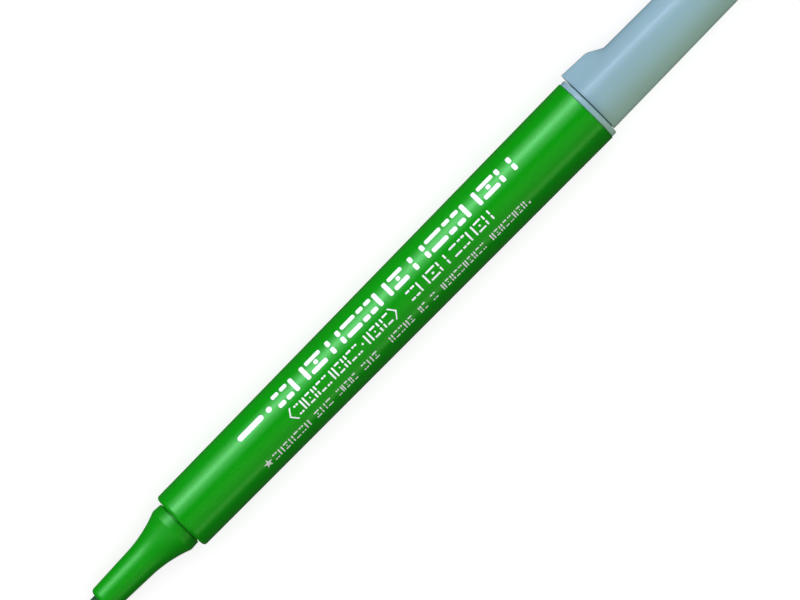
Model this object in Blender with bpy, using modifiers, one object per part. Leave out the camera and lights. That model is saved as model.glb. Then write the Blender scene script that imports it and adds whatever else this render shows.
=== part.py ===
"""A slim bullet-tip whiteboard marker, lying on its side with its cap pushed on the tail.

The pen's axis runs along +X, from the writing tip to the closed end of the cap, and the
anti-roll lug of the cap points to +Y. The origin is on the surface under the middle of the
pen. Lengths along the pen are measured from the front shoulder of the barrel, positive towards
the cap. Units are metres, so every dimension is written as a number of millimetres times MM.
"""

import math

import bmesh
import bpy
from mathutils import Matrix

MM = 0.001
TURN_STEPS = 48  # facets round every turned piece
HALF_FACET = math.pi / TURN_STEPS  # starts each turn so that the pen lies on a flat facet
MERGE = 0.000001  # closes the seam and the poles of a turned piece

# Barrel: a moulded tube, a little thicker towards the tail.
BARREL_LENGTH = 89.1 * MM
BARREL_FRONT_RADIUS = 5.205 * MM
BARREL_REAR_RADIUS = 5.80 * MM
BARREL_WALL = 1.05 * MM
SHOULDER_ROUND = 0.55 * MM
SOCKET_RADIUS = 3.52 * MM  # holds the front section
SOCKET_DEPTH = 7.6 * MM
RIB_COUNT = 6
RIB_WIDTH = 0.7 * MM
RIB_INNER_RADIUS = 4.02 * MM
RIB_START = 8.4 * MM
RIB_END = 78.0 * MM

# Front section: the nose that carries the tip.
NOSE_TIP = -17.35 * MM
NOSE_TIP_ROUND = 0.75 * MM
NOSE_TIP_RADIUS = 2.38 * MM
NOSE_TAPER = 0.0376  # growth of the radius for each unit of length
FLARE_RISE = 1.25 * MM  # how far the flare stands over the tapered tube at the collar
FLARE_LENGTH = 7.1 * MM
COLLAR_CREST = -1.81 * MM  # widest ring, which the cap snaps over
COLLAR_BACK = -0.42 * MM
COLLAR_BACK_RADIUS = 3.98 * MM
NECK_RADIUS = 3.74 * MM
SEAT_GAP = 0.05 * MM  # between faces that are pushed together
SPIGOT_RADIUS = 3.42 * MM
SPIGOT_END = 7.2 * MM
NIB_BORE_RADIUS = 1.56 * MM
NOSE_CHAMBER_RADIUS = 2.5 * MM
NOSE_CHAMBER_START = -3.0 * MM
VENT_COUNT = 4
VENT_WIDTH = 0.6 * MM
VENT_REACH = 1.95 * MM  # radius of the floor of each vent groove

# Nib: a rod of pressed fibre with a bullet point.
NIB_RADIUS = 1.5 * MM
NIB_TIP = -21.15 * MM
NIB_POINT_LENGTH = 2.3 * MM
NIB_BACK = 13.6 * MM

# Reservoir: a wick of bundled fibre in a film sleeve.
WICK_RADIUS = 3.70 * MM
WICK_START = 8.6 * MM
WICK_END = 77.0 * MM
FILM_INNER_RADIUS = 3.76 * MM
FILM_OUTER_RADIUS = 3.95 * MM
FILM_OVERHANG = 0.35 * MM

# Rear plug: closes the barrel and carries the cap while the pen is in use.
FLANGE_RADIUS = 5.67 * MM
FLANGE_END = 90.07 * MM
FLANGE_ROUND = 0.5 * MM
PLUG_SPIGOT_RADIUS = 4.58 * MM
PLUG_SPIGOT_START = 80.5 * MM
POST_BASE_RADIUS = 4.05 * MM
POST_END_RADIUS = 4.00 * MM
POST_END = 99.1 * MM
POST_ROUND = 0.5 * MM
PLUG_BORE_RADIUS = 3.1 * MM
PLUG_BORE_END = 97.9 * MM

# Cap, measured from its mouth.
CAP_MOUTH = 90.24 * MM
CAP_LENGTH = 39.0 * MM
CAP_MOUTH_RADIUS = 4.985 * MM
CAP_TAPER = 0.0101
CAP_WALL = 0.735 * MM
CAP_END_WALL = 1.0 * MM
CAP_END_ROUND = 0.6 * MM
MOUTH_ROUND = 0.2 * MM
SNAP_BEAD_DEPTH = 1.05 * MM  # ring in the bore that clicks behind the collar
SNAP_BEAD_RADIUS = 4.12 * MM
LUG_RIDGE_RADIUS = 1.3 * MM
LUG_SINK = 0.05 * MM  # keeps the lug's root just under the cap's skin
# (distance from the mouth, height of the ridge over the axis)
LUG_RIDGE = (
    (0.0 * MM, 6.36 * MM),
    (0.25 * MM, 6.54 * MM),
    (2.8 * MM, 6.46 * MM),
    (5.0 * MM, 6.28 * MM),
    (6.1 * MM, 5.85 * MM),
    (7.6 * MM, 4.97 * MM),
)

# Inner cap: the soft cup that seals round the nose, measured from the cap's mouth.
LINER_MOUTH = 9.6 * MM
LINER_END = 24.0 * MM
LINER_GAP = 0.06 * MM
LINER_LIP_RADIUS = 2.66 * MM
LINER_LIP_DEPTH = 1.6 * MM
LINER_BORE_RADIUS = 3.0 * MM
LINER_END_WALL = 0.9 * MM

# The whole pen, centred on the origin, with the lowest facet of its widest ring on the surface.
AXIS_HEIGHT = BARREL_REAR_RADIUS * math.cos(HALF_FACET)
MIDDLE = (NIB_TIP + CAP_MOUTH + CAP_LENGTH) / 2

GREEN = (0.012, 0.270, 0.016)
DARK_GREEN = (0.006, 0.085, 0.022)
PALE_BLUE_GREY = (0.270, 0.440, 0.500)
WICK_WHITE = (0.780, 0.800, 0.760)
FILM_CLEAR = (0.700, 0.720, 0.740)
LINER_WHITE = (0.750, 0.770, 0.780)


def clear_scene():
    for old in list(bpy.data.objects):
        bpy.data.objects.remove(old, do_unlink=True)


def collection(name):
    made = bpy.data.collections.new(name)
    bpy.context.scene.collection.children.link(made)
    return made


def surface(name, colour, roughness, metallic=0.0):
    made = bpy.data.materials.new(name)
    made.use_nodes = True
    shader = made.node_tree.nodes["Principled BSDF"]
    shader.inputs["Base Color"].default_value = (*colour, 1.0)
    shader.inputs["Roughness"].default_value = roughness
    shader.inputs["Metallic"].default_value = metallic
    return made


def axis_empty(name, parent, location, rotation=(0.0, 0.0, 0.0)):
    """An empty whose own Z is the pen's axis, pointing towards the cap's closed end."""
    empty = bpy.data.objects.new(name, None)
    empty.location = location
    empty.rotation_euler = rotation
    empty.parent = parent
    PARTS.objects.link(empty)
    return empty


def placed(name, bm, parent, material=None):
    """A mesh object on the pen's axis: a part when it has a material, or else a guide."""
    mesh = bpy.data.meshes.new(name)
    bm.to_mesh(mesh)
    bm.free()
    made = bpy.data.objects.new(name, mesh)
    made.parent = parent
    if material:
        mesh.materials.append(material)
        PARTS.objects.link(made)
    else:
        made.hide_render = True
        made.display_type = "WIRE"
        CUTTERS.objects.link(made)
    return made


def turned(name, outline, parent, material=None):
    """Turn an outline of (radius, length) pairs round the axis.

    The outline runs down the outer side first and then back up the bore. It closes on itself
    unless it starts and ends on the axis.
    """
    bm = bmesh.new()
    cos, sin = math.cos(HALF_FACET), math.sin(HALF_FACET)
    verts = [bm.verts.new((radius * cos, radius * sin, length)) for radius, length in outline]
    for first, second in zip(verts, verts[1:]):
        bm.edges.new((first, second))
    if outline[0][0] > 0.0:
        bm.edges.new((verts[-1], verts[0]))
    made = placed(name, bm, parent, material)
    turn = made.modifiers.new("Turn", "SCREW")
    turn.steps = TURN_STEPS
    turn.render_steps = TURN_STEPS
    turn.use_merge_vertices = True
    turn.merge_threshold = MERGE
    turn.use_smooth_shade = True
    return made


def boolean(target, other, operation):
    step = target.modifiers.new(other.name, "BOOLEAN")
    step.operation = operation
    step.object = other


def arc(radius, length, reach, start, end, steps=4):
    """Points on a quarter round, centred at (radius, length), from start to end in degrees."""
    points = []
    for step in range(steps + 1):
        angle = math.radians(start + (end - start) * step / steps)
        points.append((radius + reach * math.cos(angle), length + reach * math.sin(angle)))
    return points


def barrel_radius(length):
    growth = (BARREL_REAR_RADIUS - BARREL_FRONT_RADIUS) / BARREL_LENGTH
    return BARREL_FRONT_RADIUS + growth * length


def nose_radius(length):
    """Outside of the front section: a slightly tapered tube that flares up to the collar."""
    tube = NOSE_TIP_RADIUS + NOSE_TAPER * (length - NOSE_TIP - NOSE_TIP_ROUND)
    flare = max(0.0, 1.0 - (COLLAR_CREST - length) / FLARE_LENGTH)
    return tube + FLARE_RISE * flare**2


def cap_radius(depth):
    return CAP_MOUTH_RADIUS - CAP_TAPER * depth


def box(bm, corner_low, corner_high):
    """Add a box between two opposite corners and return its vertices."""
    made = bmesh.ops.create_cube(bm, size=1.0)["verts"]
    for vert in made:
        for axis in range(3):
            middle = (corner_low[axis] + corner_high[axis]) / 2
            span = corner_high[axis] - corner_low[axis]
            vert.co[axis] = middle + vert.co[axis] * span
    return made


def radial_bars(name, count, width, inner, outer, start, end):
    """Long bars round the axis, which ribs are joined from and vent grooves are cut with."""
    bm = bmesh.new()
    for index in range(count):
        verts = box(bm, (inner, -width / 2, start), (outer, width / 2, end))
        turn = Matrix.Rotation(2 * math.pi * index / count, 3, "Z")
        bmesh.ops.rotate(bm, verts=verts, matrix=turn)
    return placed(name, bm, PEN)


def make_barrel(material):
    rear_bore = BARREL_REAR_RADIUS - BARREL_WALL
    front_bore = barrel_radius(SOCKET_DEPTH) - BARREL_WALL
    outline = [(BARREL_REAR_RADIUS, BARREL_LENGTH)]
    corner = barrel_radius(SHOULDER_ROUND) - SHOULDER_ROUND
    outline += arc(corner, SHOULDER_ROUND, SHOULDER_ROUND, 0, -90, steps=5)
    outline += [
        (SOCKET_RADIUS, 0.0),
        (SOCKET_RADIUS, SOCKET_DEPTH),
        (front_bore, SOCKET_DEPTH),
        (rear_bore, BARREL_LENGTH),
    ]
    barrel = turned("barrel", outline, PEN, material)
    ribs = radial_bars(
        "barrel_ribs",
        RIB_COUNT,
        RIB_WIDTH,
        RIB_INNER_RADIUS,
        barrel_radius(RIB_START) - BARREL_WALL / 2,
        RIB_START,
        RIB_END,
    )
    boolean(barrel, ribs, "UNION")
    return barrel


def make_front_section(material):
    flare_end = COLLAR_CREST - FLARE_LENGTH
    tip_start = NOSE_TIP + NOSE_TIP_ROUND
    outline = [
        (SPIGOT_RADIUS, SPIGOT_END),
        (SPIGOT_RADIUS, -SEAT_GAP),
        (NECK_RADIUS, -SEAT_GAP),
        (NECK_RADIUS, COLLAR_BACK),
        (COLLAR_BACK_RADIUS, COLLAR_BACK),
    ]
    flare_steps = 8
    for step in range(flare_steps + 1):
        length = COLLAR_CREST + (flare_end - COLLAR_CREST) * step / flare_steps
        outline.append((nose_radius(length), length))
    corner = NOSE_TIP_RADIUS - NOSE_TIP_ROUND
    outline += arc(corner, tip_start, NOSE_TIP_ROUND, 0, -90)
    outline += [
        (NIB_BORE_RADIUS, NOSE_TIP),
        (NIB_BORE_RADIUS, NOSE_CHAMBER_START - NOSE_CHAMBER_RADIUS + NIB_BORE_RADIUS),
        (NOSE_CHAMBER_RADIUS, NOSE_CHAMBER_START),
        (NOSE_CHAMBER_RADIUS, SPIGOT_END),
    ]
    front = turned("front_section", outline, PEN, material)
    vents = radial_bars(
        "vent_grooves",
        VENT_COUNT,
        VENT_WIDTH,
        NIB_RADIUS / 2,
        VENT_REACH,
        NOSE_TIP - VENT_WIDTH,
        NOSE_CHAMBER_START,
    )
    boolean(front, vents, "DIFFERENCE")
    return front


def make_nib(material):
    point_steps = 7
    outline = [
        (0.0, NIB_BACK),
        (NIB_RADIUS - NIB_RADIUS / 4, NIB_BACK),
        (NIB_RADIUS, NIB_BACK - NIB_RADIUS / 4),
    ]
    for step in range(point_steps + 1):
        angle = math.radians(90 * step / point_steps)
        length = NIB_TIP + NIB_POINT_LENGTH * (1 - math.sin(angle))
        outline.append((NIB_RADIUS * math.cos(angle), length))
    outline[-1] = (0.0, NIB_TIP)
    return turned("nib", outline, PEN, material)


def make_reservoir_wick(material):
    nib_hole_end = NIB_BACK + WICK_RADIUS / 4
    outline = [
        (0.0, WICK_END),
        (WICK_RADIUS, WICK_END),
        (WICK_RADIUS, WICK_START),
        (NIB_BORE_RADIUS, WICK_START),
        (NIB_BORE_RADIUS, nib_hole_end),
        (0.0, nib_hole_end),
    ]
    return turned("reservoir_wick", outline, PEN, material)


def make_reservoir_film(material):
    front = WICK_START - FILM_OVERHANG
    back = WICK_END + FILM_OVERHANG
    outline = [
        (FILM_OUTER_RADIUS, back),
        (FILM_OUTER_RADIUS, front),
        (FILM_INNER_RADIUS, front),
        (FILM_INNER_RADIUS, back),
    ]
    return turned("reservoir_film", outline, PEN, material)


def make_rear_plug(material):
    outline = [(0.0, POST_END)]
    outline += arc(POST_END_RADIUS - POST_ROUND, POST_END - POST_ROUND, POST_ROUND, 90, 0)
    outline.append((POST_BASE_RADIUS, FLANGE_END))
    outline += arc(FLANGE_RADIUS - FLANGE_ROUND, FLANGE_END - FLANGE_ROUND, FLANGE_ROUND, 90, 0)
    outline += [
        (FLANGE_RADIUS, BARREL_LENGTH + SEAT_GAP),
        (PLUG_SPIGOT_RADIUS, BARREL_LENGTH + SEAT_GAP),
        (PLUG_SPIGOT_RADIUS, PLUG_SPIGOT_START + POST_ROUND),
        (PLUG_SPIGOT_RADIUS - POST_ROUND, PLUG_SPIGOT_START),
        (PLUG_BORE_RADIUS, PLUG_SPIGOT_START),
        (PLUG_BORE_RADIUS, PLUG_BORE_END),
        (0.0, PLUG_BORE_END),
    ]
    return turned("rear_plug", outline, PEN, material)


def make_lug():
    """The anti-roll lug: one smooth swelling, round on its ridge and tangent to the cap."""
    bm = bmesh.new()
    for depth, height in LUG_RIDGE:
        rings = (
            (0.0, cap_radius(depth) - LUG_SINK),
            (height - LUG_RIDGE_RADIUS, LUG_RIDGE_RADIUS),
        )
        for centre, radius in rings:
            for step in range(TURN_STEPS):
                angle = 2 * math.pi * step / TURN_STEPS
                across = radius * math.cos(angle)
                outwards = centre + radius * math.sin(angle)
                bm.verts.new((across, outwards, depth))
    hull = bmesh.ops.convex_hull(bm, input=bm.verts)
    spare = [item for item in hull["geom_interior"] if isinstance(item, bmesh.types.BMVert)]
    spare += [item for item in hull["geom_unused"] if isinstance(item, bmesh.types.BMVert)]
    bmesh.ops.delete(bm, geom=list(set(spare)), context="VERTS")
    bmesh.ops.recalc_face_normals(bm, faces=bm.faces)
    return placed("cap_lug", bm, CAP)


def make_cap_bore():
    """The hollow of the cap, a cutter that runs out past the mouth."""
    past_mouth = -1.0 * MM
    bore_end = CAP_LENGTH - CAP_END_WALL
    bead_half = 0.45 * MM
    outline = [
        (0.0, bore_end),
        (cap_radius(bore_end) - CAP_WALL - CAP_END_ROUND, bore_end),
        (cap_radius(bore_end) - CAP_WALL, bore_end - CAP_END_ROUND),
        (cap_radius(SNAP_BEAD_DEPTH) - CAP_WALL, SNAP_BEAD_DEPTH + bead_half),
        (SNAP_BEAD_RADIUS, SNAP_BEAD_DEPTH),
        (cap_radius(0.0) - CAP_WALL, SNAP_BEAD_DEPTH - bead_half),
        (cap_radius(0.0) - CAP_WALL, past_mouth),
        (0.0, past_mouth),
    ]
    return turned("cap_bore", outline, CAP)


def make_cap(material):
    outline = [(0.0, CAP_LENGTH)]
    end_corner = cap_radius(CAP_LENGTH) - CAP_END_ROUND
    outline += arc(end_corner, CAP_LENGTH - CAP_END_ROUND, CAP_END_ROUND, 90, 0)
    mouth_corner = cap_radius(0.0) - MOUTH_ROUND
    outline += arc(mouth_corner, MOUTH_ROUND, MOUTH_ROUND, 0, -90, steps=2)
    outline.append((0.0, 0.0))
    cap = turned("cap", outline, CAP, material)
    boolean(cap, make_lug(), "UNION")
    boolean(cap, make_cap_bore(), "DIFFERENCE")
    return cap


def make_inner_cap(material):
    end_radius = cap_radius(LINER_END) - CAP_WALL - LINER_GAP
    mouth_radius = cap_radius(LINER_MOUTH) - CAP_WALL - LINER_GAP
    chamfer = 0.4 * MM
    outline = [
        (0.0, LINER_END),
        (end_radius - chamfer, LINER_END),
        (end_radius, LINER_END - chamfer),
        (mouth_radius, LINER_MOUTH),
        (LINER_LIP_RADIUS + chamfer, LINER_MOUTH),
        (LINER_LIP_RADIUS, LINER_MOUTH + chamfer),
        (LINER_LIP_RADIUS, LINER_MOUTH + LINER_LIP_DEPTH),
        (LINER_BORE_RADIUS, LINER_MOUTH + LINER_LIP_DEPTH + chamfer),
        (LINER_BORE_RADIUS, LINER_END - LINER_END_WALL),
        (0.0, LINER_END - LINER_END_WALL),
    ]
    return turned("inner_cap", outline, CAP, material)


clear_scene()
PARTS = collection("whiteboard_marker")
CUTTERS = collection("cutters")
along_x = (0.0, math.radians(90), 0.0)
PEN = axis_empty("pen_axis", None, (-MIDDLE, 0.0, AXIS_HEIGHT), along_x)
CAP = axis_empty("cap_slide_axis", PEN, (0.0, 0.0, CAP_MOUTH))

green = surface("green_plastic", GREEN, 0.28)
pale = surface("pale_plastic", PALE_BLUE_GREY, 0.38)
make_barrel(green)
make_front_section(green)
make_nib(surface("nib_fibre", DARK_GREEN, 0.85))
make_reservoir_wick(surface("wick_fibre", WICK_WHITE, 0.9))
make_reservoir_film(surface("clear_film", FILM_CLEAR, 0.2))
make_rear_plug(pale)
make_cap(pale)
make_inner_cap(surface("liner_plastic", LINER_WHITE, 0.5))
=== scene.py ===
"""Looks for a slim whiteboard marker that lies with its cap pushed on the tail.

The pen's axis runs along X: the nib points to -X, and the cap's closed end to +X. The lug of
the cap points to +Y, and the print faces up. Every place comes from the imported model.
"""

import math

import bmesh
import bpy
from mathutils import Matrix, Vector


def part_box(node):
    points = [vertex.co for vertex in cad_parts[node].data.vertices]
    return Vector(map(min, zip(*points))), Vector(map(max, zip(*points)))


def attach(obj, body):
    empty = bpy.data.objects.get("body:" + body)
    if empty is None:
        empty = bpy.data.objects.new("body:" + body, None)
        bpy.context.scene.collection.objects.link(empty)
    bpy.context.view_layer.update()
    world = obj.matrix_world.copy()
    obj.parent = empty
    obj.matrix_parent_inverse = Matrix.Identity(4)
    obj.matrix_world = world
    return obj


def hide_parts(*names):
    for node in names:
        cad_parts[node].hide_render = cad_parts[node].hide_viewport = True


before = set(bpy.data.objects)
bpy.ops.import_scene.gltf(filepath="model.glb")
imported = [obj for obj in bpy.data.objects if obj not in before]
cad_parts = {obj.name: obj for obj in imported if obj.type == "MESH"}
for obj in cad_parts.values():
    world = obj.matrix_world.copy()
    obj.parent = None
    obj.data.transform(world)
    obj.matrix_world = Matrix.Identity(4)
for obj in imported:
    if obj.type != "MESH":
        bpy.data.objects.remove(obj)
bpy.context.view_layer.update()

# ---- Stage: a large pale table top under plain soft light. It isn't part of the pen. ----
# Some lamps light only the table and others only the pen, so each can be set by itself.

MM = 0.001
FLOOR_SPAN = 40.0
FLOOR_COLOUR = (0.90, 0.90, 0.90)
WORLD_STRENGTH = 0.055
TABLE_LIGHT = 3.4
TABLE_SHADOW_LIGHT = 0.18
TABLE_LIGHT_SPREAD = math.radians(100.0)

floor_shape = bmesh.new()
bmesh.ops.create_grid(floor_shape, x_segments=4, y_segments=4, size=FLOOR_SPAN / 2)
floor_mesh = bpy.data.meshes.new("floor")
floor_shape.to_mesh(floor_mesh)
floor_shape.free()
floor = bpy.data.objects.new("floor", floor_mesh)
floor.visible_glossy = False
floor.visible_diffuse = False
table_top = bpy.data.collections.new("table_top")
bpy.context.scene.collection.children.link(table_top)
table_top.objects.link(floor)

floor_paint = bpy.data.materials.new("floor_paint")
floor_paint.use_nodes = True
floor_shader = floor_paint.node_tree.nodes["Principled BSDF"]
floor_shader.inputs["Base Color"].default_value = (*FLOOR_COLOUR, 1.0)
floor_shader.inputs["Roughness"].default_value = 0.9
floor_shader.inputs["Specular IOR Level"].default_value = 0.0
floor_mesh.materials.append(floor_paint)


def add_lamp(name, kind, place, turn, receivers):
    """A lamp that only lights what its collection of receivers lets in."""
    lamp = bpy.data.lights.new(name, kind)
    holder = bpy.data.objects.new(name, lamp)
    holder.location = place
    holder.rotation_euler = turn
    holder.light_linking.receiver_collection = receivers
    bpy.context.scene.collection.objects.link(holder)
    return holder


# Most of the table's light passes the pen by, so that the pen leaves just a faint soft shadow.
for lamp_name, strength in (("table_light", TABLE_LIGHT), ("table_shadow_light", TABLE_SHADOW_LIGHT)):
    table_lamp = add_lamp(lamp_name, "SUN", (0.0, 0.0, 0.0), (0.0, 0.0, 0.0), table_top)
    table_lamp.data.energy = strength
    table_lamp.data.angle = TABLE_LIGHT_SPREAD
    if lamp_name == "table_light":
        table_lamp.light_linking.blocker_collection = table_top

not_the_table = bpy.data.collections.new("lit_apart_from_the_table")
not_the_table.objects.link(floor)
not_the_table.collection_objects[0].light_linking.link_state = "EXCLUDE"
DAYLIGHT = (0.93, 1.0, 1.18)
WARM_GREEN = (0.84, 1.0, 0.62)
WHITE = (1.0, 1.0, 1.0)
KEY_SIDE = 0.0
FILL_SIDE = 180.0
BOX_LENGTH = 41.0


def soft_box(name, towards, tilt, distance, length, width, brightness, colour, receivers):
    """A soft box that faces the pen, turned from +Y by towards and tilted down from overhead.

    Length runs level and width up and down, both as angles seen from the pen.
    """
    away = Matrix.Rotation(math.radians(towards), 3, "Z") @ Matrix.Rotation(-math.radians(tilt), 3, "X")
    holder = add_lamp(name, "AREA", away @ Vector((0.0, 0.0, distance)), away.to_euler(), receivers)
    holder.data.shape = "RECTANGLE"
    holder.data.size = 2 * distance * math.tan(math.radians(length / 2))
    holder.data.size_y = 2 * distance * math.tan(math.radians(width / 2))
    holder.data.energy = brightness * math.pi * holder.data.size * holder.data.size_y
    holder.data.color = colour
    return holder


# The key light is four boxes behind one another, so that it fades towards its edges. No two boxes
# on one side stand at the same distance, because boxes in one plane hide each other's gloss.
soft_box("key_core", KEY_SIDE, 48.0, 1.20, BOX_LENGTH, 10.0, 1.9, DAYLIGHT, not_the_table)
soft_box("key_soft", KEY_SIDE, 48.0, 1.25, BOX_LENGTH, 23.0, 1.6, DAYLIGHT, not_the_table)
soft_box("key_wide", KEY_SIDE, 48.0, 1.30, BOX_LENGTH, 37.0, 0.8, DAYLIGHT, not_the_table)
soft_box("key_rim", KEY_SIDE, 47.0, 1.35, BOX_LENGTH, 60.0, 1.0, DAYLIGHT, not_the_table)
soft_box("fill_high", FILL_SIDE, 17.0, 1.20, BOX_LENGTH, 26.0, 0.32, WARM_GREEN, not_the_table)
soft_box("fill_low", FILL_SIDE, 67.5, 1.25, BOX_LENGTH, 16.0, 0.7, WARM_GREEN, not_the_table)
soft_box("fill_wide", FILL_SIDE, 51.0, 1.30, BOX_LENGTH, 50.0, 0.35, WARM_GREEN, not_the_table)

# The boxes at the ends are matt: only a weak part of each shows in the gloss.
END_TILT = 56.0
END_LENGTH = 80.0
END_WIDTH = 34.0
for end_name, side in (("tail_end", -78.0), ("nib_end", 78.0)):
    soft_box(end_name + "_gloss", side, END_TILT, 1.30, END_LENGTH, END_WIDTH, 0.3, WHITE, not_the_table)
    matt_box = soft_box(end_name, side, END_TILT, 1.35, END_LENGTH, END_WIDTH, 1.75, WHITE, not_the_table)
    matt_box.visible_glossy = False

world = bpy.data.worlds.new("studio")
world.use_nodes = True
world.node_tree.nodes["Background"].inputs["Color"].default_value = (1.0, 1.0, 1.0, 1.0)
world.node_tree.nodes["Background"].inputs["Strength"].default_value = WORLD_STRENGTH
bpy.context.scene.world = world
bpy.context.scene.view_settings.view_transform = "Standard"

# The camera looks straight down, from far enough to see the pen without perspective.
barrel_low, barrel_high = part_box("barrel")
SHOULDER_X = barrel_low[0]
AXIS_Z = (barrel_low[2] + barrel_high[2]) / 2
CAMERA_LENS = 420.0
CAMERA_TURN = math.radians(-45.4)
FRAME_WIDTH = 123.4 * MM
AIM_BEHIND_SHOULDER = 48.17 * MM
AIM_BESIDE_AXIS = -0.055 * MM

camera_data = bpy.data.cameras.new("camera")
camera_data.lens = CAMERA_LENS
camera = bpy.data.objects.new("camera", camera_data)
camera_height = AXIS_Z + FRAME_WIDTH * CAMERA_LENS / camera_data.sensor_width
camera.location = (SHOULDER_X + AIM_BEHIND_SHOULDER, AIM_BESIDE_AXIS, camera_height)
camera.rotation_euler = (0.0, 0.0, CAMERA_TURN)
camera_data.clip_start, camera_data.clip_end = 0.01, 100.0
bpy.context.scene.collection.objects.link(camera)
bpy.context.scene.camera = camera


# ---- Barrel: a tube of green polypropylene, moulded with a slight taper and a satin gloss. ----
# Six thin ribs down its bore hold the reservoir and leave air ways beside it.

TAIL_X = barrel_high[0]
TURN_STEPS = 192
BARREL_FRONT_RADIUS = 5.205 * MM
BARREL_REAR_RADIUS = 5.80 * MM
BARREL_WALL = 1.05 * MM
SOCKET_RADIUS = 3.52 * MM
SOCKET_DEPTH = 7.6 * MM
RIB_COUNT = 6
RIB_WIDTH = 0.7 * MM
RIB_INNER_RADIUS = 4.02 * MM
RIB_START = 8.4 * MM
RIB_END = 78.0 * MM


def barrel_radius(x):
    """Outer radius of the barrel at a place along the pen."""
    share = (x - SHOULDER_X) / (TAIL_X - SHOULDER_X)
    return BARREL_FRONT_RADIUS + (BARREL_REAR_RADIUS - BARREL_FRONT_RADIUS) * share


def rounded(corners, closed=True, steps=6, hold=0.08 * MM):
    """The outline through corners of (x, radius, rounding), with its turns rounded off.

    A holding point just past each rounding keeps the long faces beside it shaded flat.
    """
    outline = []
    count = len(corners)
    for index, (x, radius, rounding) in enumerate(corners):
        here = Vector((x, radius))
        at_end = not closed and index in (0, count - 1)
        if at_end or rounding == 0.0:
            outline.append(here)
            continue
        back = Vector(corners[index - 1][:2]) - here
        ahead = Vector(corners[(index + 1) % count][:2]) - here
        half = back.angle(ahead) / 2
        reach = rounding / math.tan(half)
        centre = here + (back.normalized() + ahead.normalized()).normalized() * rounding / math.sin(half)
        start = here + back.normalized() * reach
        end = here + ahead.normalized() * reach
        if back.length > 2 * (reach + hold):
            outline.append(start + back.normalized() * hold)
        sweep = (start - centre).angle_signed(end - centre)
        for step in range(steps + 1):
            spoke = (start - centre).copy()
            spoke.rotate(Matrix.Rotation(-sweep * step / steps, 2))
            outline.append(centre + spoke)
        if ahead.length > 2 * (reach + hold):
            outline.append(end + ahead.normalized() * hold)
    return outline


def turned(outline, steps=TURN_STEPS):
    """Spin an outline of (x, radius) points round the pen's axis, into one closed skin."""
    shape = bmesh.new()
    verts = [shape.verts.new((point[0], 0.0, AXIS_Z + point[1])) for point in outline]
    edges = [shape.edges.new(pair) for pair in zip(verts, verts[1:])]
    if outline[0][1] > 0.0:
        edges.append(shape.edges.new((verts[-1], verts[0])))
    bmesh.ops.spin(
        shape,
        geom=verts + edges,
        cent=(0.0, 0.0, AXIS_Z),
        axis=(1.0, 0.0, 0.0),
        angle=2 * math.pi,
        steps=steps,
        use_merge=True,
    )
    bmesh.ops.remove_doubles(shape, verts=shape.verts, dist=0.001 * MM)
    bmesh.ops.recalc_face_normals(shape, faces=shape.faces)
    return shape


def finished(name, shape, material, body, stands_for=None, sharp=40.0):
    """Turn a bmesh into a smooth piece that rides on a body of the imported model."""
    mesh = bpy.data.meshes.new(name)
    shape.to_mesh(mesh)
    shape.free()
    mesh.shade_smooth()
    mesh.set_sharp_from_angle(angle=math.radians(sharp))
    mesh.materials.append(material)
    piece = bpy.data.objects.new(name, mesh)
    bpy.context.scene.collection.objects.link(piece)
    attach(piece, body)
    if stands_for:
        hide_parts(stands_for)
    return piece


def plain_material(name, colour, roughness, **sockets):
    """A material whose Principled shader has these values on its own sockets."""
    made = bpy.data.materials.new(name)
    made.use_nodes = True
    shader = made.node_tree.nodes["Principled BSDF"]
    shader.inputs["Base Color"].default_value = (*colour, 1.0)
    shader.inputs["Roughness"].default_value = roughness
    for label, value in sockets.items():
        shader.inputs[label.replace("_", " ")].default_value = value
    return made


def noise(material, size, detail=2.0, stretch=1.0):
    """A noise pattern with grains of about this size, drawn out along the pen by stretch."""
    nodes, links = material.node_tree.nodes, material.node_tree.links
    place = nodes.new("ShaderNodeTexCoord")
    scale = nodes.new("ShaderNodeMapping")
    scale.inputs["Scale"].default_value = (1.0 / (size * stretch), 1.0 / size, 1.0 / size)
    grain = nodes.new("ShaderNodeTexNoise")
    grain.inputs["Scale"].default_value = 1.0
    grain.inputs["Detail"].default_value = detail
    links.new(place.outputs["Object"], scale.inputs["Vector"])
    links.new(scale.outputs["Vector"], grain.inputs["Vector"])
    return grain.outputs["Fac"]


def spread(material, pattern, low, high, start=0.3, end=0.7):
    """The pattern's values from start to end, spread from low to high."""
    node = material.node_tree.nodes.new("ShaderNodeMapRange")
    node.inputs["From Min"].default_value = start
    node.inputs["From Max"].default_value = end
    node.inputs["To Min"].default_value = low
    node.inputs["To Max"].default_value = high
    material.node_tree.links.new(pattern, node.inputs["Value"])
    return node.outputs["Result"]


def vary_roughness(material, pattern, low, high):
    """Spread the roughness from low to high by a pattern, as handling does."""
    shader = material.node_tree.nodes["Principled BSDF"]
    material.node_tree.links.new(spread(material, pattern, low, high), shader.inputs["Roughness"])


def vary_colour(material, pattern, darkest, lightest):
    """Multiply the colour by something between these two, by a pattern, as uneven pigment does."""
    nodes, links = material.node_tree.nodes, material.node_tree.links
    base_colour = nodes["Principled BSDF"].inputs["Base Color"]
    mix = nodes.new("ShaderNodeMix")
    mix.data_type = "RGBA"
    colours = [socket for socket in mix.inputs if socket.type == "RGBA"]
    for colour, factor in zip(colours, (darkest, lightest)):
        colour.default_value = (*(factor * part for part in base_colour.default_value[:3]), 1.0)
    links.new(spread(material, pattern, 0.0, 1.0), mix.inputs["Factor"])
    result = [socket for socket in mix.outputs if socket.type == "RGBA"][0]
    links.new(result, base_colour)


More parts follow.
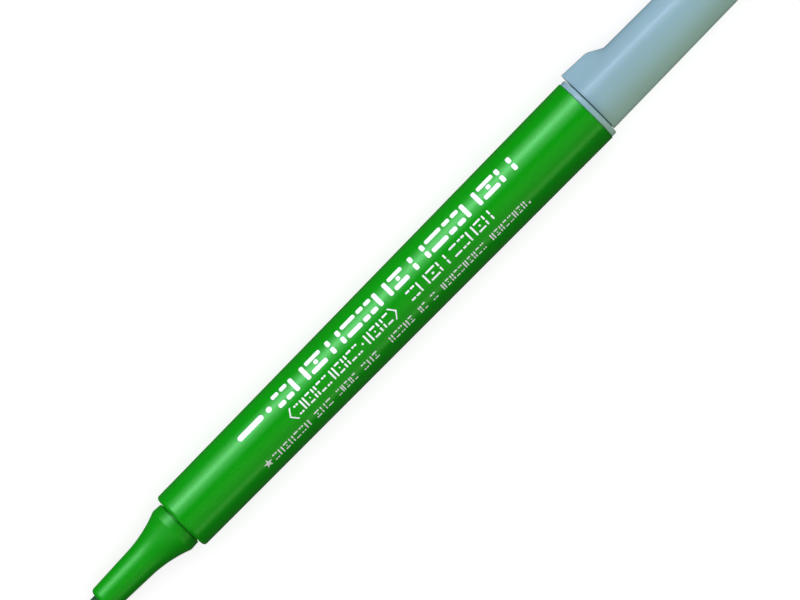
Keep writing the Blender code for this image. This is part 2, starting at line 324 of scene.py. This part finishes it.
def raise_surface(material, patterns):
    """Bump the surface by several patterns, each with the height of its grains in metres."""
    nodes, links = material.node_tree.nodes, material.node_tree.links
    normal = None
    for pattern, height in patterns:
        bump = nodes.new("ShaderNodeBump")
        bump.inputs["Distance"].default_value = height
        links.new(pattern, bump.inputs["Height"])
        if normal:
            links.new(normal, bump.inputs["Normal"])
        normal = bump.outputs["Normal"]
    links.new(normal, nodes["Principled BSDF"].inputs["Normal"])


def green_plastic(name, smoothest, roughest):
    """Satin green polypropylene: a fine moulded skin, faint handling marks, even pigment."""
    made = plain_material(
        name,
        (0.001, 0.325, 0.002),
        roughest,
        Specular_IOR_Level=1.0,
        Specular_Tint=(0.42, 1.0, 0.42, 1.0),
    )
    vary_colour(made, noise(made, 9 * MM, stretch=3), 0.96, 1.04)
    vary_roughness(made, noise(made, 2.5 * MM, detail=4, stretch=4), smoothest, roughest)
    raise_surface(
        made,
        (
            (noise(made, 0.35 * MM, detail=3), 0.0015 * MM),
            (noise(made, 0.16 * MM, detail=2, stretch=60), 0.0008 * MM),
        ),
    )
    return made


barrel_shape = turned(
    rounded(
        (
            (SHOULDER_X, BARREL_FRONT_RADIUS, 0.55 * MM),
            (TAIL_X, BARREL_REAR_RADIUS, 0.08 * MM),
            (TAIL_X, BARREL_REAR_RADIUS - BARREL_WALL, 0.05 * MM),
            (SHOULDER_X + SOCKET_DEPTH, BARREL_FRONT_RADIUS - BARREL_WALL, 0.0),
            (SHOULDER_X + SOCKET_DEPTH, SOCKET_RADIUS, 0.0),
            (SHOULDER_X, SOCKET_RADIUS, 0.1 * MM),
        )
    )
)
for index in range(RIB_COUNT):
    rib = bmesh.ops.create_cube(barrel_shape, size=1.0)["verts"]
    rib_outer_radius = barrel_radius(SHOULDER_X + RIB_START) - BARREL_WALL / 2
    for vert in rib:
        along = RIB_START + (RIB_END - RIB_START) * (vert.co.x + 0.5)
        out = RIB_INNER_RADIUS + (rib_outer_radius - RIB_INNER_RADIUS) * (vert.co.z + 0.5)
        spoke = Vector((0.0, vert.co.y * RIB_WIDTH, out))
        spoke.rotate(Matrix.Rotation(2 * math.pi * index / RIB_COUNT, 3, "X"))
        vert.co = Vector((SHOULDER_X + along, 0.0, AXIS_Z)) + spoke
bmesh.ops.recalc_face_normals(barrel_shape, faces=barrel_shape.faces)
barrel_green = green_plastic("barrel_green", 0.22, 0.28)
finished("barrel_tube", barrel_shape, barrel_green, "pen", "barrel")


# ---- Front section: the green nose, moulded apart and pressed into the barrel. ----
# It flares up to the collar that the cap snaps over. Four notches at its tip let air in past
# the nib, and the chamber behind them is open to the barrel.

front_low, front_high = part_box("front_section")
NOSE_TIP_X = front_low[0]
NOSE_TIP_RADIUS = 2.38 * MM
NOSE_TIP_ROUND = 0.75 * MM
NOSE_TAPER = 0.0376
FLARE_RISE = 1.25 * MM
FLARE_LENGTH = 7.1 * MM
COLLAR_X = SHOULDER_X - 1.81 * MM
COLLAR_BACK_X = SHOULDER_X - 0.22 * MM
COLLAR_BACK_RADIUS = 4.08 * MM
NECK_RADIUS = 3.74 * MM
SPIGOT_RADIUS = 3.42 * MM
SPIGOT_GAP = 0.05 * MM
NIB_BORE_RADIUS = 1.56 * MM
NOSE_CHAMBER_RADIUS = 2.5 * MM
NOSE_CHAMBER_X = SHOULDER_X - 3.0 * MM
FLARE_POINTS = 24
FLARE_START = 0.06
VENT_COUNT = 4
VENT_WIDTH = 0.6 * MM
VENT_REACH = 1.95 * MM


def nose_radius(x):
    """A slightly tapered tube that flares up to the collar."""
    tube = NOSE_TIP_RADIUS + NOSE_TAPER * (x - NOSE_TIP_X - NOSE_TIP_ROUND)
    flare = max(0.0, 1.0 - (COLLAR_X - x) / FLARE_LENGTH)
    return tube + FLARE_RISE * flare**2


front_corners = [
    (front_high[0], SPIGOT_RADIUS, 0.2 * MM),
    (SHOULDER_X - SPIGOT_GAP, SPIGOT_RADIUS, 0.0),
    (SHOULDER_X - SPIGOT_GAP, NECK_RADIUS, 0.0),
    (COLLAR_BACK_X, NECK_RADIUS, 0.0),
    (COLLAR_BACK_X, COLLAR_BACK_RADIUS, 0.1 * MM),
    (COLLAR_X, nose_radius(COLLAR_X), 0.9 * MM),
]
for step in range(1, FLARE_POINTS + 1):
    flare_x = COLLAR_X - FLARE_LENGTH * (FLARE_START + (1 - FLARE_START) * step / FLARE_POINTS)
    front_corners.append((flare_x, nose_radius(flare_x), 0.0))
front_corners += [
    (NOSE_TIP_X, nose_radius(NOSE_TIP_X), NOSE_TIP_ROUND),
    (NOSE_TIP_X, NIB_BORE_RADIUS, 0.0),
    (NOSE_CHAMBER_X - NOSE_CHAMBER_RADIUS + NIB_BORE_RADIUS, NIB_BORE_RADIUS, 0.0),
    (NOSE_CHAMBER_X, NOSE_CHAMBER_RADIUS, 0.0),
    (front_high[0], NOSE_CHAMBER_RADIUS, 0.0),
]
front_shape = turned(rounded(front_corners, steps=8))
round_rise = VENT_REACH - (NOSE_TIP_RADIUS - NOSE_TIP_ROUND)
vent_mouth_x = NOSE_TIP_X + NOSE_TIP_ROUND - math.sqrt(NOSE_TIP_ROUND**2 - round_rise**2)
for vert in front_shape.verts:
    spoke = Vector((0.0, vert.co.y, vert.co.z - AXIS_Z))
    if vert.co.x > NOSE_CHAMBER_X or spoke.length > VENT_REACH:
        continue
    off_vent = math.remainder(math.atan2(spoke.y, spoke.z), 2 * math.pi / VENT_COUNT)
    if abs(off_vent) * NIB_BORE_RADIUS < VENT_WIDTH / 2:
        vert.co += spoke.normalized() * (VENT_REACH - spoke.length)
        vert.co.x = max(vert.co.x, vent_mouth_x)
bmesh.ops.remove_doubles(front_shape, verts=front_shape.verts, dist=0.001 * MM)
bmesh.ops.recalc_face_normals(front_shape, faces=front_shape.faces)
front_green = green_plastic("front_section_green", 0.32, 0.38)
finished("nose", front_shape, front_green, "pen", "front_section")


# ---- Nib: a rod of pressed polyester fibre, ground to a bullet point and soaked with ink. ----
# It is pushed into the nose's bore, and its back end reaches through the chamber to the wick.

nib_low, nib_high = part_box("nib")
NIB_RADIUS = 1.5 * MM
NIB_POINT_LENGTH = 2.3 * MM
NIB_POINT_STEPS = 16
SMALL_TURN_STEPS = 96

nib_outline = [
    Vector((nib_high[0], 0.0)),
    Vector((nib_high[0], NIB_RADIUS * 0.75)),
    Vector((nib_high[0] - NIB_RADIUS / 4, NIB_RADIUS)),
]
for step in range(NIB_POINT_STEPS + 1):
    angle = math.pi / 2 * step / NIB_POINT_STEPS
    point_x = nib_low[0] + NIB_POINT_LENGTH * (1 - math.sin(angle))
    point_radius = NIB_RADIUS * math.cos(angle) if step < NIB_POINT_STEPS else 0.0
    nib_outline.append(Vector((point_x, point_radius)))

nib_fibre = plain_material("nib_fibre", (0.004, 0.070, 0.018), 0.6)
vary_colour(nib_fibre, noise(nib_fibre, 0.12 * MM, detail=4, stretch=12), 0.65, 1.6)
raise_surface(nib_fibre, ((noise(nib_fibre, 0.10 * MM, detail=3, stretch=12), 0.02 * MM),))
nib_shape = turned(nib_outline, steps=SMALL_TURN_STEPS)
finished("bullet_nib", nib_shape, nib_fibre, "pen", "nib")


# ---- Reservoir: a wick of bundled fibre in a thin film sleeve, hidden in the barrel. ----
# The nib's back end sits in a hole in the wick and draws the ink from it.

wick_low, wick_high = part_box("reservoir_wick")
film_low, film_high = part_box("reservoir_film")
WICK_RADIUS = 3.70 * MM
WICK_HOLE_RADIUS = 1.56 * MM
FILM_INNER_RADIUS = 3.76 * MM
FILM_OUTER_RADIUS = 3.95 * MM

wick_fibre = plain_material("wick_fibre", (0.10, 0.42, 0.14), 0.9)
vary_colour(wick_fibre, noise(wick_fibre, 0.2 * MM, detail=4, stretch=30), 0.75, 1.25)
raise_surface(wick_fibre, ((noise(wick_fibre, 0.12 * MM, detail=3, stretch=30), 0.02 * MM),))
wick_outline = (
    Vector((wick_high[0], 0.0)),
    Vector((wick_high[0], WICK_RADIUS)),
    Vector((wick_low[0], WICK_RADIUS)),
    Vector((wick_low[0], WICK_HOLE_RADIUS)),
    Vector((nib_high[0], WICK_HOLE_RADIUS)),
    Vector((nib_high[0] + WICK_RADIUS / 4, 0.0)),
)
wick_shape = turned(wick_outline, steps=SMALL_TURN_STEPS)
finished("ink_wick", wick_shape, wick_fibre, "pen", "reservoir_wick")

clear_film = plain_material("clear_film", (0.80, 0.82, 0.84), 0.2, Transmission_Weight=0.8)
vary_roughness(clear_film, noise(clear_film, 3 * MM), 0.15, 0.3)
film_outline = (
    Vector((film_high[0], FILM_OUTER_RADIUS)),
    Vector((film_low[0], FILM_OUTER_RADIUS)),
    Vector((film_low[0], FILM_INNER_RADIUS)),
    Vector((film_high[0], FILM_INNER_RADIUS)),
)
film_shape = turned(film_outline, steps=SMALL_TURN_STEPS)
finished("wick_film", film_shape, clear_film, "pen", "reservoir_film")


# ---- Rear plug: pale plastic, pressed into the tail. Its flange shows as a thin ring. ----
# The hollow post behind it holds the cap while the pen is in use.

plug_low, plug_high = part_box("rear_plug")
FLANGE_RADIUS = 5.67 * MM
FLANGE_X = TAIL_X + 0.97 * MM
PLUG_GAP = 0.05 * MM
PLUG_SPIGOT_RADIUS = 4.58 * MM
POST_BASE_RADIUS = 4.05 * MM
POST_END_RADIUS = 4.00 * MM
PLUG_BORE_RADIUS = 3.1 * MM
PLUG_END_WALL = 1.2 * MM


def pale_plastic(name):
    """Satin grey-blue polypropylene with a smooth moulded skin."""
    made = plain_material(
        name,
        (0.252, 0.395, 0.430),
        0.17,
        Specular_IOR_Level=0.22,
        Specular_Tint=(0.84, 0.86, 1.0, 1.0),
        Subsurface_Weight=0.15,
        Subsurface_Radius=(1.0, 1.0, 0.8),
        Subsurface_Scale=1.0 * MM,
    )
    vary_colour(made, noise(made, 8 * MM, stretch=2), 0.97, 1.03)
    vary_roughness(made, noise(made, 2.5 * MM, detail=4, stretch=3), 0.15, 0.19)
    raise_surface(
        made,
        (
            (noise(made, 0.4 * MM, detail=3), 0.0012 * MM),
            (noise(made, 0.16 * MM, detail=2, stretch=60), 0.0006 * MM),
        ),
    )
    return made


plug_corners = (
    (plug_high[0], 0.0, 0.0),
    (plug_high[0], POST_END_RADIUS, 0.5 * MM),
    (FLANGE_X, POST_BASE_RADIUS, 0.1 * MM),
    (FLANGE_X, FLANGE_RADIUS, 0.22 * MM),
    (TAIL_X + PLUG_GAP, FLANGE_RADIUS, 0.05 * MM),
    (TAIL_X + PLUG_GAP, PLUG_SPIGOT_RADIUS, 0.0),
    (plug_low[0], PLUG_SPIGOT_RADIUS, 0.4 * MM),
    (plug_low[0], PLUG_BORE_RADIUS, 0.0),
    (plug_high[0] - PLUG_END_WALL, PLUG_BORE_RADIUS, 0.2 * MM),
    (plug_high[0] - PLUG_END_WALL, 0.0, 0.0),
)
plug_pale = pale_plastic("rear_plug_pale")
plug_shape = turned(rounded(plug_corners, closed=False))
tail_plug = finished("tail_plug", plug_shape, plug_pale, "pen", "rear_plug")


# ---- Cap: pale plastic, one moulding, with a lug at its mouth that stops the pen rolling. ----
# A bead inside the mouth snaps over the nose's collar, and the end shows where it was moulded.

cap_low, cap_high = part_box("cap")
CAP_MOUTH_X = cap_low[0]
CAP_END_X = cap_high[0]
CAP_MOUTH_RADIUS = 4.985 * MM
CAP_TAPER = 0.0101
CAP_WALL = 0.735 * MM
CAP_END_WALL = 1.0 * MM
SNAP_BEAD_DEPTH = 1.05 * MM
SNAP_BEAD_RADIUS = 4.12 * MM
BEAD_HALF = 0.45 * MM
LUG_RIDGE_RADIUS = 1.3 * MM
LUG_MOUTH_HEIGHT = 6.54 * MM
LUG_SHOULDER_HEIGHT = 6.30 * MM
LUG_SHOULDER_DEPTH = 5.2 * MM
LUG_FOOT_DEPTH = 7.7 * MM
LUG_RIDGE_END = 9.5 * MM
LUG_END = 8.4 * MM
LUG_LOOPS = 42
GATE_RADIUS = 1.1 * MM
GATE_DEPTH = 0.15 * MM
CAP_TURN_STEPS = 288


def cap_radius(depth):
    """Outer radius of the cap at a depth from its mouth, away from the lug."""
    return CAP_MOUTH_RADIUS - CAP_TAPER * depth


# Height of the lug's ridge over the axis against depth, rounded where its slope begins.
lug_ridge = rounded(
    (
        (0.0, LUG_MOUTH_HEIGHT, 0.0),
        (LUG_SHOULDER_DEPTH, LUG_SHOULDER_HEIGHT, 2.4 * MM),
        (LUG_FOOT_DEPTH, cap_radius(LUG_FOOT_DEPTH), 0.8 * MM),
        (LUG_RIDGE_END, cap_radius(LUG_RIDGE_END), 0.0),
    ),
    closed=False,
)


def ridge_height(depth):
    """Height of the lug's ridge over the axis, read along its side outline."""
    for start, end in zip(lug_ridge, lug_ridge[1:]):
        if start[0] <= depth <= end[0]:
            share = (depth - start[0]) / (end[0] - start[0])
            return start[1] + (end[1] - start[1]) * share
    return cap_radius(depth)


def lug_swelling(depth, angle):
    """How far the lug's teardrop section stands over the round cap, at an angle from +Y."""
    body = cap_radius(depth)
    offset = ridge_height(depth) - LUG_RIDGE_RADIUS
    if offset <= body - LUG_RIDGE_RADIUS or abs(angle) > math.pi / 2:
        return 0.0
    tangent = math.acos((body - LUG_RIDGE_RADIUS) / offset)
    if abs(angle) >= tangent:
        return 0.0
    crest = math.atan2(
        LUG_RIDGE_RADIUS * math.sin(tangent), offset + LUG_RIDGE_RADIUS * math.cos(tangent)
    )
    if abs(angle) >= crest:
        return body / math.cos(tangent - abs(angle)) - body
    along, across = offset * math.cos(angle), offset * math.sin(angle)
    return along + math.sqrt(LUG_RIDGE_RADIUS**2 - across**2) - body


cap_corners = [
    (CAP_END_X - GATE_DEPTH, 0.0, 0.0),
    (CAP_END_X - GATE_DEPTH, GATE_RADIUS, 0.08 * MM),
    (CAP_END_X, GATE_RADIUS + GATE_DEPTH, 0.05 * MM),
    (CAP_END_X, cap_radius(CAP_END_X - CAP_MOUTH_X), 0.6 * MM),
]
for step in range(LUG_LOOPS, 1, -1):
    depth = LUG_END * step / LUG_LOOPS
    cap_corners.append((CAP_MOUTH_X + depth, cap_radius(depth), 0.0))
cap_bore_end = CAP_END_X - CAP_END_WALL
cap_corners += [
    (CAP_MOUTH_X, CAP_MOUTH_RADIUS, 0.12 * MM),
    (CAP_MOUTH_X, CAP_MOUTH_RADIUS - CAP_WALL, 0.1 * MM),
    (CAP_MOUTH_X + SNAP_BEAD_DEPTH - BEAD_HALF, CAP_MOUTH_RADIUS - CAP_WALL, 0.0),
    (CAP_MOUTH_X + SNAP_BEAD_DEPTH, SNAP_BEAD_RADIUS, 0.15 * MM),
    (CAP_MOUTH_X + SNAP_BEAD_DEPTH + BEAD_HALF, cap_radius(SNAP_BEAD_DEPTH) - CAP_WALL, 0.0),
    (cap_bore_end, cap_radius(cap_bore_end - CAP_MOUTH_X) - CAP_WALL, 0.5 * MM),
    (cap_bore_end, 0.0, 0.0),
]
cap_shape = turned(rounded(cap_corners, closed=False), steps=CAP_TURN_STEPS)
for vert in cap_shape.verts:
    spoke = Vector((0.0, vert.co.y, vert.co.z - AXIS_Z))
    depth = vert.co.x - CAP_MOUTH_X
    if spoke.length > cap_radius(depth) - CAP_WALL / 2 and depth < LUG_END:
        rise = lug_swelling(depth, math.atan2(spoke.z, spoke.y))
        vert.co += spoke.normalized() * rise
bmesh.ops.recalc_face_normals(cap_shape, faces=cap_shape.faces)
cap_pale = pale_plastic("cap_pale")
cap_shell = finished("cap_shell", cap_shape, cap_pale, "cap_body", "cap")

# Pale plastic scatters light to its shaded side and has a crisp gloss: two boxes stand in.
pale_pieces = bpy.data.collections.new("pale_pieces")
pale_pieces.objects.link(tail_plug)
pale_pieces.objects.link(cap_shell)
LILAC = (1.0, 0.86, 1.3)
AMBER = (1.0, 0.92, 0.60)
soft_box("pale_streak", KEY_SIDE, 54.0, 1.15, BOX_LENGTH, 6.0, 5.5, LILAC, pale_pieces)
pale_glow = soft_box("pale_glow", FILL_SIDE, 88.0, 1.35, 60.0, 16.0, 9.5, AMBER, pale_pieces)
pale_glow.visible_glossy = False


# ---- Inner cap: a cup of soft white polyethylene, pressed into the cap's bore. ----
# Its lip seals round the nose when the cap is over it, so that the nib doesn't dry out.

liner_low, liner_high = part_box("inner_cap")
LINER_GAP = 0.06 * MM
LINER_LIP_RADIUS = 2.66 * MM
LINER_BORE_RADIUS = 3.0 * MM
LINER_LIP_LENGTH = 1.6 * MM
LINER_LIP_SLOPE = 0.4 * MM
LINER_END_WALL = 0.9 * MM


def liner_radius(x):
    """Outer radius of the cup at a place along the pen."""
    return cap_radius(x - CAP_MOUTH_X) - CAP_WALL - LINER_GAP


liner_white = plain_material("liner_white", (0.75, 0.77, 0.78), 0.5, Subsurface_Weight=0.2)
vary_roughness(liner_white, noise(liner_white, 2 * MM), 0.42, 0.58)
liner_corners = (
    (liner_high[0], 0.0, 0.0),
    (liner_high[0], liner_radius(liner_high[0]), 0.4 * MM),
    (liner_low[0], liner_radius(liner_low[0]), 0.15 * MM),
    (liner_low[0], LINER_LIP_RADIUS, 0.4 * MM),
    (liner_low[0] + LINER_LIP_LENGTH, LINER_LIP_RADIUS, 0.2 * MM),
    (liner_low[0] + LINER_LIP_LENGTH + LINER_LIP_SLOPE, LINER_BORE_RADIUS, 0.2 * MM),
    (liner_high[0] - LINER_END_WALL, LINER_BORE_RADIUS, 0.3 * MM),
    (liner_high[0] - LINER_END_WALL, 0.0, 0.0),
)
liner_shape = turned(rounded(liner_corners, closed=False), steps=SMALL_TURN_STEPS)
finished("seal_cup", liner_shape, liner_white, "cap_body", "inner_cap")


# ---- Print: three rows of plain white marks, pad-printed along the top of the barrel. ----
# A bar and a dot lead the bold row. The middle row has chevrons, and a star leads the small row.
# Places are taken along the barrel from its shoulder, and round it from its top towards the lug.

INK_HEIGHT = 0.02 * MM
INK_SINK = 0.03 * MM
ARC_STEP = 0.35 * MM
CORNER_STEPS = 3

white_ink = plain_material("white_ink", (0.92, 0.94, 0.95), 0.5)
vary_roughness(white_ink, noise(white_ink, 0.6 * MM, detail=3), 0.42, 0.6)

# Marks of several kinds, each made of strokes: the way a stroke runs, its place as a share of the
# mark's other side, and the shares of the mark's side at which it starts and ends.
MARK_KINDS = (
    (
        ("along", 0.0, 0.0, 0.44),
        ("along", 0.0, 0.56, 1.0),
        ("along", 1.0, 0.0, 0.44),
        ("along", 1.0, 0.56, 1.0),
    ),
    (("across", 0.0, 0.0, 1.0), ("across", 1.0, 0.0, 1.0)),
    (("along", 0.0, 0.0, 1.0), ("along", 0.5, 0.38, 0.62), ("along", 1.0, 0.0, 1.0)),
    (
        ("across", 0.0, 0.0, 0.43),
        ("across", 0.0, 0.57, 1.0),
        ("across", 1.0, 0.0, 0.43),
        ("across", 1.0, 0.57, 1.0),
    ),
    (("along", 0.0, 0.0, 1.0), ("along", 1.0, 0.0, 1.0)),
)


def ink_patch(shape, outline):
    """A flat patch of ink, one unit high, with this outline of (along, across) points."""
    base = shape.faces.new([shape.verts.new((along, across, 0.0)) for along, across in outline])
    raised = bmesh.ops.extrude_face_region(shape, geom=[base])["geom"]
    top = [part for part in raised if isinstance(part, bmesh.types.BMVert)]
    bmesh.ops.translate(shape, vec=(0.0, 0.0, 1.0), verts=top)


def ink_bar(shape, left, right, low, high, corner):
    """A bar of ink with round corners."""
    outline = []
    for along, across, quarter in (
        (right - corner, high - corner, 0),
        (left + corner, high - corner, 1),
        (left + corner, low + corner, 2),
        (right - corner, low + corner, 3),
    ):
        for step in range(CORNER_STEPS + 1):
            angle = math.pi / 2 * (quarter + step / CORNER_STEPS)
            outline.append((along + corner * math.cos(angle), across + corner * math.sin(angle)))
    ink_patch(shape, outline)


def ink_row(shape, words, low, high, gap, stroke, corner):
    """A row of words: each is where it starts and ends in millimetres, and how many marks."""
    kind = 0
    height = high - low
    for word_start, word_end, count in words:
        width = ((word_end - word_start) * MM + gap) / count - gap
        for index in range(count):
            left = word_start * MM + (width + gap) * index
            for way, place, start, end in MARK_KINDS[kind % len(MARK_KINDS)]:
                if way == "along":
                    near = low + (height - stroke) * place
                    ink_bar(shape, left + width * start, left + width * end, near, near + stroke, corner)
                else:
                    near = left + (width - stroke) * place
                    ink_bar(shape, near, near + stroke, low + height * start, low + height * end, corner)
            kind += 1


def ink_chevron(shape, point, reach, low, high, stroke):
    """A chevron whose point lies at the middle of its height; reach is signed."""
    middle = (low + high) / 2
    step = math.copysign(stroke, reach)
    ink_patch(
        shape,
        (
            (point, middle),
            (point + reach, high),
            (point + reach + step, high),
            (point + step, middle),
            (point + reach + step, low),
            (point + reach, low),
        ),
    )


def ink_star(shape, along, across, radius, hollow):
    """A five-pointed star; hollow is the share of its radius between two points."""
    outline = []
    for index in range(10):
        reach = radius if index % 2 == 0 else radius * hollow
        angle = math.pi / 2 + math.pi * index / 5
        outline.append((along + reach * math.cos(angle), across + reach * math.sin(angle)))
    ink_patch(shape, outline)


def printed(name, shape):
    """Cut the flat patches into narrow strips and lay them round the barrel."""
    lowest = min(vert.co.y for vert in shape.verts)
    highest = max(vert.co.y for vert in shape.verts)
    cuts = int((highest - lowest) / ARC_STEP) + 1
    for index in range(1, cuts):
        bmesh.ops.bisect_plane(
            shape,
            geom=shape.verts[:] + shape.edges[:] + shape.faces[:],
            dist=0.0005 * MM,
            plane_co=(0.0, lowest + (highest - lowest) * index / cuts, 0.0),
            plane_no=(0.0, 1.0, 0.0),
        )
    for vert in shape.verts:
        x = SHOULDER_X + vert.co.x
        radius = barrel_radius(x) - INK_SINK + (INK_SINK + INK_HEIGHT) * vert.co.z
        turn = vert.co.y / barrel_radius(x)
        vert.co = Vector((x, radius * math.sin(turn), AXIS_Z + radius * math.cos(turn)))
    bmesh.ops.recalc_face_normals(shape, faces=shape.faces)
    finished(name, shape, white_ink, "pen", sharp=30.0)


BOLD_WORDS = ((23.4, 33.9, 3), (35.1, 51.8, 5), (53.2, 75.5, 6))
LEAD_LOW = 2.05 * MM
LEAD_HIGH = 3.05 * MM
LEAD_CORNER = 0.48 * MM
bold_row = bmesh.new()
ink_bar(bold_row, 15.3 * MM, 20.7 * MM, LEAD_LOW, LEAD_HIGH, LEAD_CORNER)
ink_bar(bold_row, 21.5 * MM, 22.5 * MM, LEAD_LOW, LEAD_HIGH, LEAD_CORNER)
ink_row(
    bold_row,
    BOLD_WORDS,
    low=1.25 * MM,
    high=3.95 * MM,
    gap=0.45 * MM,
    stroke=0.76 * MM,
    corner=0.28 * MM,
)
printed("print_bold_row", bold_row)

MIDDLE_WORDS = ((24.9, 31.9, 6), (32.5, 38.6, 5), (40.1, 45.3, 4), (49.4, 57.8, 4), (58.9, 67.4, 5))
CHEVRON_REACH = 0.85 * MM
CHEVRON_LOW = -1.85 * MM
CHEVRON_HIGH = 0.40 * MM
CHEVRON_STROKE = 0.28 * MM
middle_row = bmesh.new()
ink_chevron(middle_row, 23.4 * MM, CHEVRON_REACH, CHEVRON_LOW, CHEVRON_HIGH, CHEVRON_STROKE)
ink_chevron(middle_row, 46.7 * MM, -CHEVRON_REACH, CHEVRON_LOW, CHEVRON_HIGH, CHEVRON_STROKE)
ink_bar(middle_row, 39.15 * MM, 39.5 * MM, low=-0.90 * MM, high=-0.55 * MM, corner=0.16 * MM)
ink_row(
    middle_row,
    MIDDLE_WORDS,
    low=-1.62 * MM,
    high=0.15 * MM,
    gap=0.32 * MM,
    stroke=0.30 * MM,
    corner=0.10 * MM,
)
printed("print_middle_row", middle_row)

SMALL_WORDS = (
    (17.3, 25.1, 7),
    (26.4, 29.9, 3),
    (31.2, 35.3, 5),
    (36.7, 40.0, 3),
    (42.7, 47.7, 5),
    (49.1, 50.6, 2),
    (51.8, 52.8, 1),
    (54.1, 63.4, 10),
    (64.8, 72.3, 8),
)
SMALL_LOW = -4.25 * MM
small_row = bmesh.new()
ink_star(small_row, 16.1 * MM, -3.6 * MM, radius=0.85 * MM, hollow=0.42)
ink_row(
    small_row,
    SMALL_WORDS,
    low=SMALL_LOW,
    high=-3.0 * MM,
    gap=0.28 * MM,
    stroke=0.24 * MM,
    corner=0.08 * MM,
)
ink_bar(small_row, 72.7 * MM, 73.1 * MM, low=SMALL_LOW, high=-3.85 * MM, corner=0.15 * MM)
printed("print_small_row", small_row)
